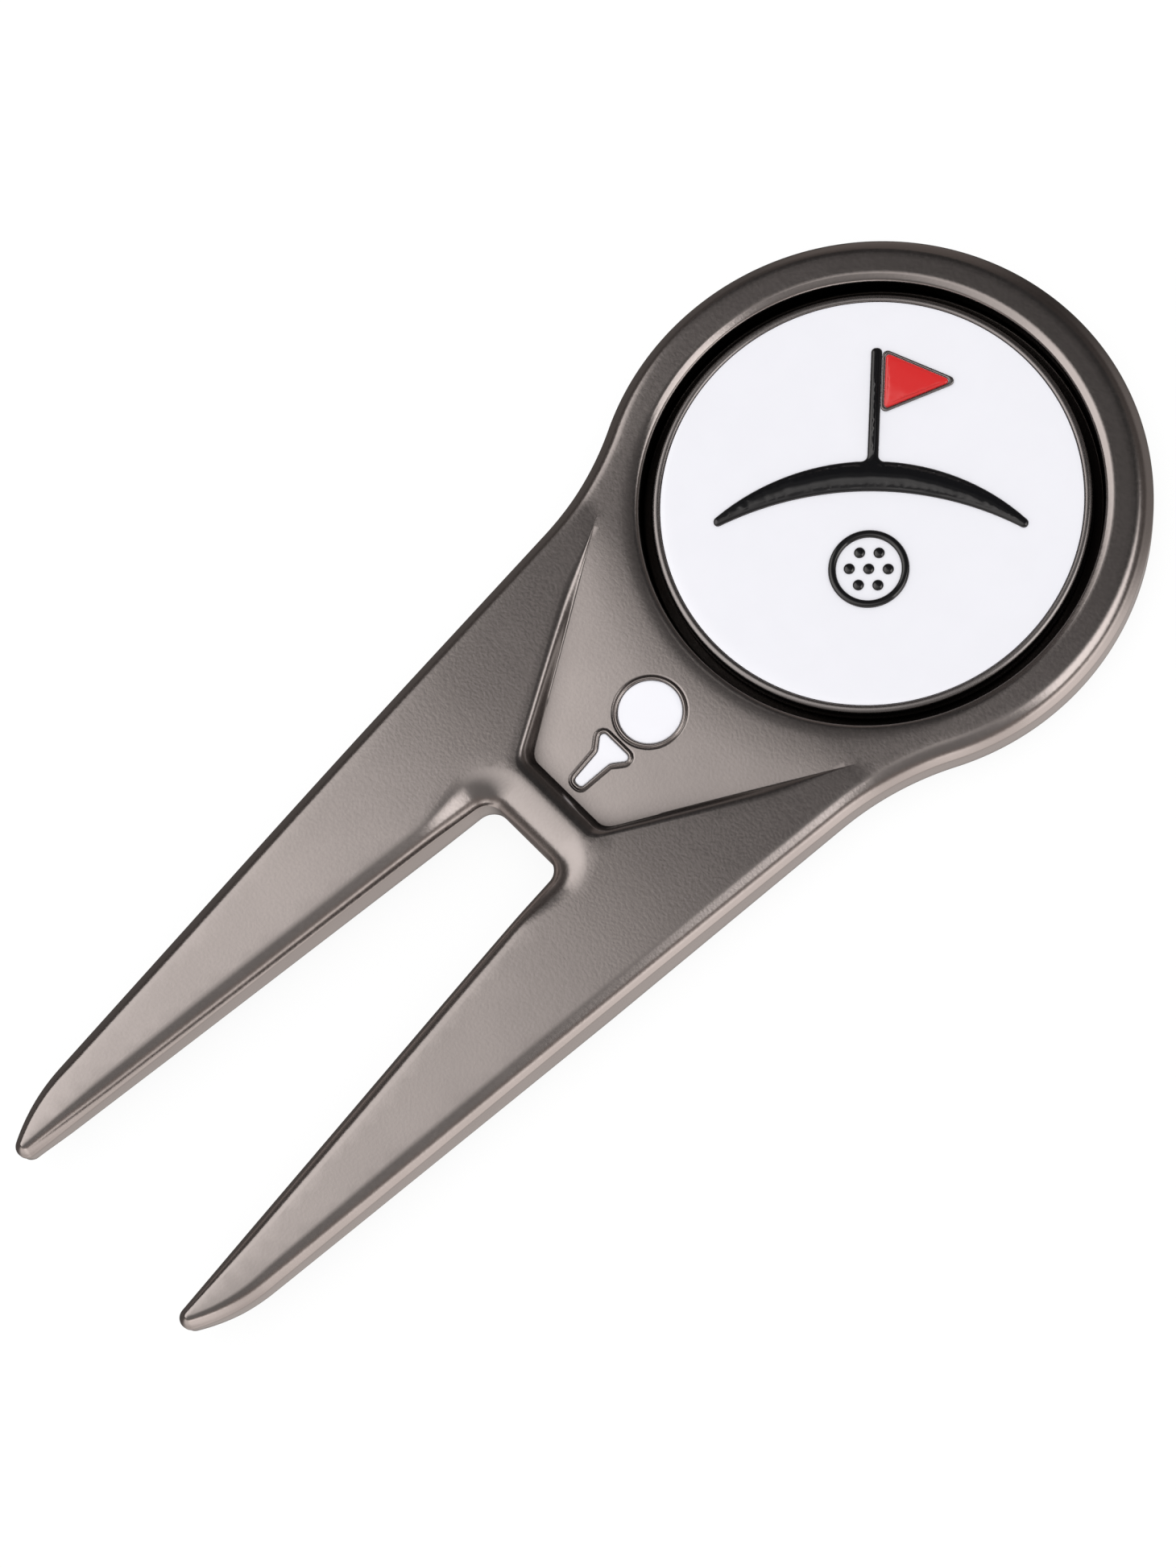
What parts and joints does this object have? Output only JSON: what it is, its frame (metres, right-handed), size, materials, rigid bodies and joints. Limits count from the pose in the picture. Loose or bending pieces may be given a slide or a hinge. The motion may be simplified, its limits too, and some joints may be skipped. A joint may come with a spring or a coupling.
{
  "type": "divot repair tool",
  "caption": "Forked turf repair tool with a round head that seats a removable magnetic disc marker.",
  "frame": {"origin": "centre of the round head, on the flat back face", "axes": "+Z out of the marker's face, +Y from the prongs towards the head's round end, +X across the tool"},
  "size_m": [0.0316, 0.0757, 0.004],
  "materials": {
    "gunmetal_plating": "satin black nickel on a zinc die casting",
    "white_enamel": "gloss",
    "red_enamel": "gloss",
    "black_enamel": "gloss",
    "marker_metal": "dark nickel on stamped steel",
    "magnet_nickel": "bright nickel",
    "adhesive": "cured epoxy"
  },
  "bodies": {
    "tool": {"fork_body": "gunmetal_plating", "neck_enamel": "white_enamel", "magnet": "magnet_nickel", "magnet_adhesive": "adhesive"},
    "marker": {"marker_base": "marker_metal", "marker_enamel_white": "white_enamel", "marker_enamel_red": "red_enamel", "marker_enamel_black": "black_enamel"}
  },
  "joints": [
    {"name": "marker_lift", "type": "slide", "parent": "tool", "child": "marker", "axis": [0, 0, 1], "range_m": [0, 0.02]}
  ]
}
